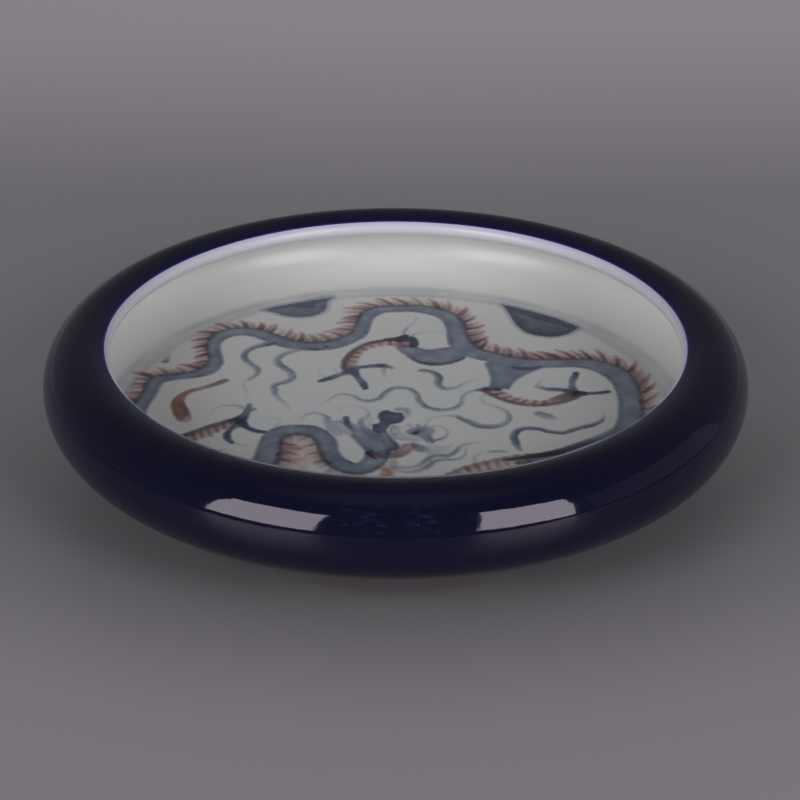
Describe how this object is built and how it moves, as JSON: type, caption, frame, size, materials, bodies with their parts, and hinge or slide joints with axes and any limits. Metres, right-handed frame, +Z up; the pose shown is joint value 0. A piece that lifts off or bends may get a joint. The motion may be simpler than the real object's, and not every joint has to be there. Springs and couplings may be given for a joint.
{
  "type": "brush washer",
  "caption": "Low round porcelain brush washer with a fat rolled-in wall, blue glaze outside, a white painted floor inside and a low foot ring.",
  "frame": {"origin": "centre of the foot ring, on the surface that the washer stands on", "axes": "+Z up through the middle of the floor; the side that faces the viewer in the picture is -Y"},
  "size_m": [0.2, 0.2, 0.038],
  "materials": {
    "porcelain": "fired white clay, covered by glaze",
    "bare_foot": "fired white clay, bare at its edge, where it has turned pale orange",
    "blue_glaze": "glossy deep cobalt blue",
    "clear_glaze": "glossy clear glaze over white clay"
  },
  "bodies": {
    "root": {"porcelain_body": "porcelain", "foot_ring": "bare_foot", "blue_glaze": "blue_glaze", "interior_glaze": "clear_glaze", "base_glaze": "clear_glaze"}
  },
  "joints": []
}
